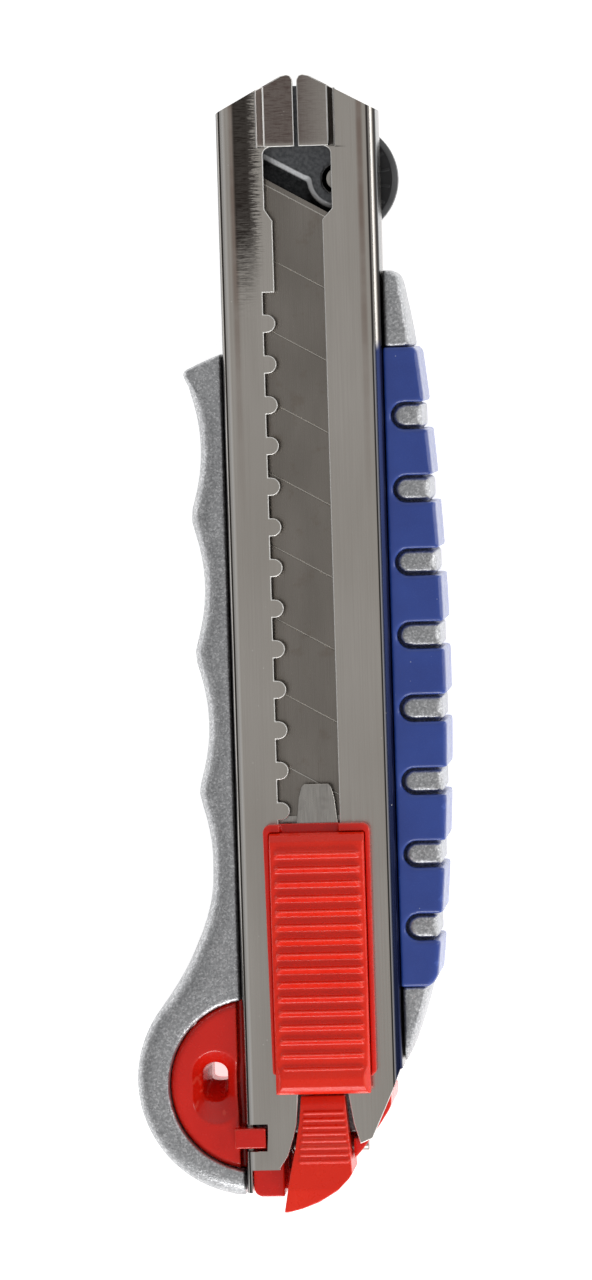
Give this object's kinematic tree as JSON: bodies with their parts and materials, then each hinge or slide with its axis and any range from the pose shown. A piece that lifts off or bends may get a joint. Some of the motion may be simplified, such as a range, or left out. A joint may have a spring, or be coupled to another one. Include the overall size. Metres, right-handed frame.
{
  "type": "utility knife",
  "caption": "Snap-off utility knife with a sliding segmented blade in a steel guide channel, a thumb slide, a clamp wheel and a cast handle with a finger loop.",
  "frame": {"origin": "on the plane of the handle's flat back, under the centre line of the guide channel, about half way along the knife", "axes": "+Y along the channel towards the blade tip, +Z out of the channel's front face, +X towards the grip side"},
  "size_m": [0.045, 0.1581, 0.0211],
  "materials": {
    "cast_silver": "satin silver paint with fine sparkle",
    "soft_blue": "soft satin",
    "bright_steel": "bright rolled",
    "blade_steel": "fine ground",
    "spring_steel": "drawn",
    "carrier_steel": "stamped",
    "red_plastic": "gloss",
    "black_plastic": "satin black"
  },
  "bodies": {
    "handle": {"handle_body": "cast_silver", "grip_cover": "soft_blue", "guide_channel": "bright_steel", "lanyard_insert": "red_plastic", "spare_blades": "blade_steel", "magazine_spring": "spring_steel"},
    "foot": {"clamp_foot": "spring_steel"},
    "wheel": {"clamp_wheel": "black_plastic", "clamp_screw": "spring_steel"},
    "carrier": {"blade_carrier": "carrier_steel", "blade_stud": "carrier_steel", "blade": "blade_steel", "slider_base": "red_plastic"},
    "button": {"slider_button": "red_plastic", "lock_plate": "carrier_steel", "return_spring": "spring_steel"},
    "cap": {"end_cap": "red_plastic", "lever_pin": "spring_steel"},
    "lever": {"cap_lever": "red_plastic", "lever_spring": "spring_steel"}
  },
  "joints": [
    {"name": "slider_travel", "type": "slide", "parent": "handle", "child": "carrier", "axis": [0, 1, 0], "range_m": [0, 0.0678]},
    {"name": "button_press", "type": "slide", "parent": "carrier", "child": "button", "axis": [0, 0, -1], "range_m": [0, 0.00075], "stiffness_N_per_m": 1500, "springref_m": -0.0006, "deforming": ["return_spring"]},
    {"name": "clamp_turn", "type": "hinge", "parent": "foot", "child": "wheel", "pos_m": [0.0054, 0.0644, 0.0054], "axis": [0, 0, 1], "range_deg": [-364, 94]},
    {"name": "clamp_travel", "type": "slide", "parent": "handle", "child": "foot", "axis": [0, 0, 1], "range_m": [-0.0005, 0.000125]},
    {"name": "cap_slide", "type": "slide", "parent": "handle", "child": "cap", "axis": [0, -1, 0], "range_m": [0, 0.025]},
    {"name": "lever_press", "type": "hinge", "parent": "cap", "child": "lever", "pos_m": [0, -0.0708, 0.01], "axis": [-1, 0, 0], "range_deg": [0, 5], "stiffness_Nm_per_rad": 0.05, "springref_deg": -5.73}
  ],
  "couplings": [
    {"joint": "clamp_turn", "follows": "clamp_travel", "rad_per_m": 12566}
  ]
}
